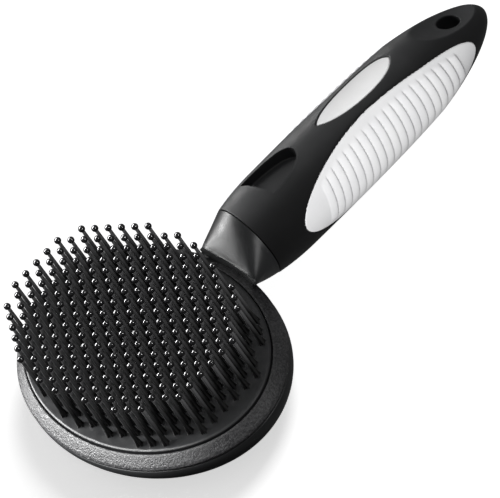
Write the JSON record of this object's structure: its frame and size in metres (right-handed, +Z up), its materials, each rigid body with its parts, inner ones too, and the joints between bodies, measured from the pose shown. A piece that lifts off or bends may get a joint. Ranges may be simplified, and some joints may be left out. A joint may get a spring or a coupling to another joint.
{
  "type": "pet brush",
  "caption": "Oval pet brush lying pins up: ball-tipped pins in a rubber cushion clamped by a ring, and a round handle with ribbed side grips, thumb recess and hanging hole.",
  "frame": {"origin": "middle of the flat on the back of the head, which the brush lies on", "axes": "+X from the head to the handle's end, +Y across the head, +Z up, the way the pins point"},
  "size_m": [0.1894, 0.1096, 0.0356],
  "materials": {
    "shell": "finely grained satin",
    "frame": "finely grained satin",
    "cushion": "smooth satin",
    "pins": "polished",
    "core": "smooth matte",
    "sleeve": "soft-touch matte",
    "grip": "soft-touch matte",
    "badge": "smooth satin"
  },
  "bodies": {
    "root": {"back_shell": "shell", "front_frame": "frame", "cushion_pad": "cushion", "handle_core": "core", "handle_sleeve": "sleeve", "grip_left": "grip", "grip_right": "grip", "badge_plate": "badge", "pin_row_01": "pins", "pin_row_02": "pins", "pin_row_03": "pins", "pin_row_04": "pins", "pin_row_05": "pins", "pin_row_06": "pins", "pin_row_07": "pins", "pin_row_08": "pins", "pin_row_09": "pins", "pin_row_10": "pins", "pin_row_11": "pins", "pin_row_12": "pins", "pin_row_13": "pins", "pin_row_14": "pins", "pin_row_15": "pins", "pin_row_16": "pins", "pin_row_17": "pins", "pin_row_18": "pins", "pin_row_19": "pins", "pin_row_20": "pins", "pin_row_21": "pins", "pin_row_22": "pins"}
  },
  "joints": []
}
